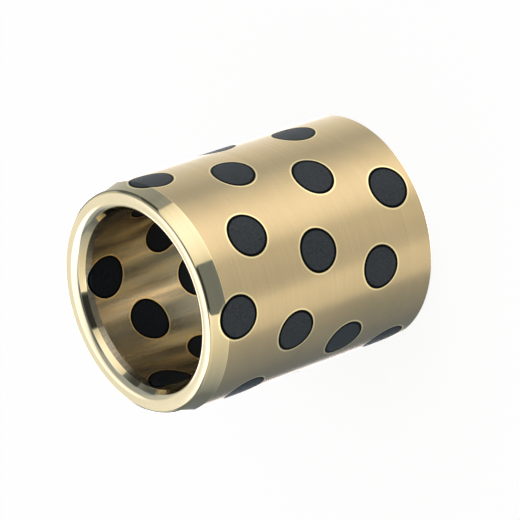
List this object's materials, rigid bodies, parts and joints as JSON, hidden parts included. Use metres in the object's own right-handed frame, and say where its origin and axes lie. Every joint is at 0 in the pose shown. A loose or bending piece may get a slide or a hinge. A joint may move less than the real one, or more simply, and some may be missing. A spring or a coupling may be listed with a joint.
{
  "type": "graphite plugged bushing",
  "caption": "Plain cylindrical bronze bushing with graphite plugs set flush through its wall, a tapered lead-in at one end and a rounded mouth to its bore.",
  "frame": {"origin": "on the bore axis, at the centre of the plain end face that the bushing stands on", "axes": "+Z along the bore axis, from the plain end to the lead-in end; +X through plug a of the first ring, the one nearest the lead-in end"},
  "size_m": [0.033, 0.033, 0.04],
  "materials": {
    "bronze": "satin",
    "graphite": "matte"
  },
  "bodies": {
    "root": {"sleeve": "bronze", "plug_ring1_a": "graphite", "plug_ring1_b": "graphite", "plug_ring1_c": "graphite", "plug_ring1_d": "graphite", "plug_ring2_a": "graphite", "plug_ring2_b": "graphite", "plug_ring2_c": "graphite", "plug_ring2_d": "graphite", "plug_ring3_a": "graphite", "plug_ring3_b": "graphite", "plug_ring3_c": "graphite", "plug_ring3_d": "graphite", "plug_ring4_a": "graphite", "plug_ring4_b": "graphite", "plug_ring4_c": "graphite", "plug_ring4_d": "graphite", "plug_ring5_a": "graphite", "plug_ring5_b": "graphite", "plug_ring5_c": "graphite", "plug_ring5_d": "graphite", "plug_ring6_a": "graphite", "plug_ring6_b": "graphite", "plug_ring6_c": "graphite", "plug_ring6_d": "graphite", "plug_ring7_a": "graphite", "plug_ring7_b": "graphite", "plug_ring7_c": "graphite", "plug_ring7_d": "graphite"}
  },
  "joints": []
}
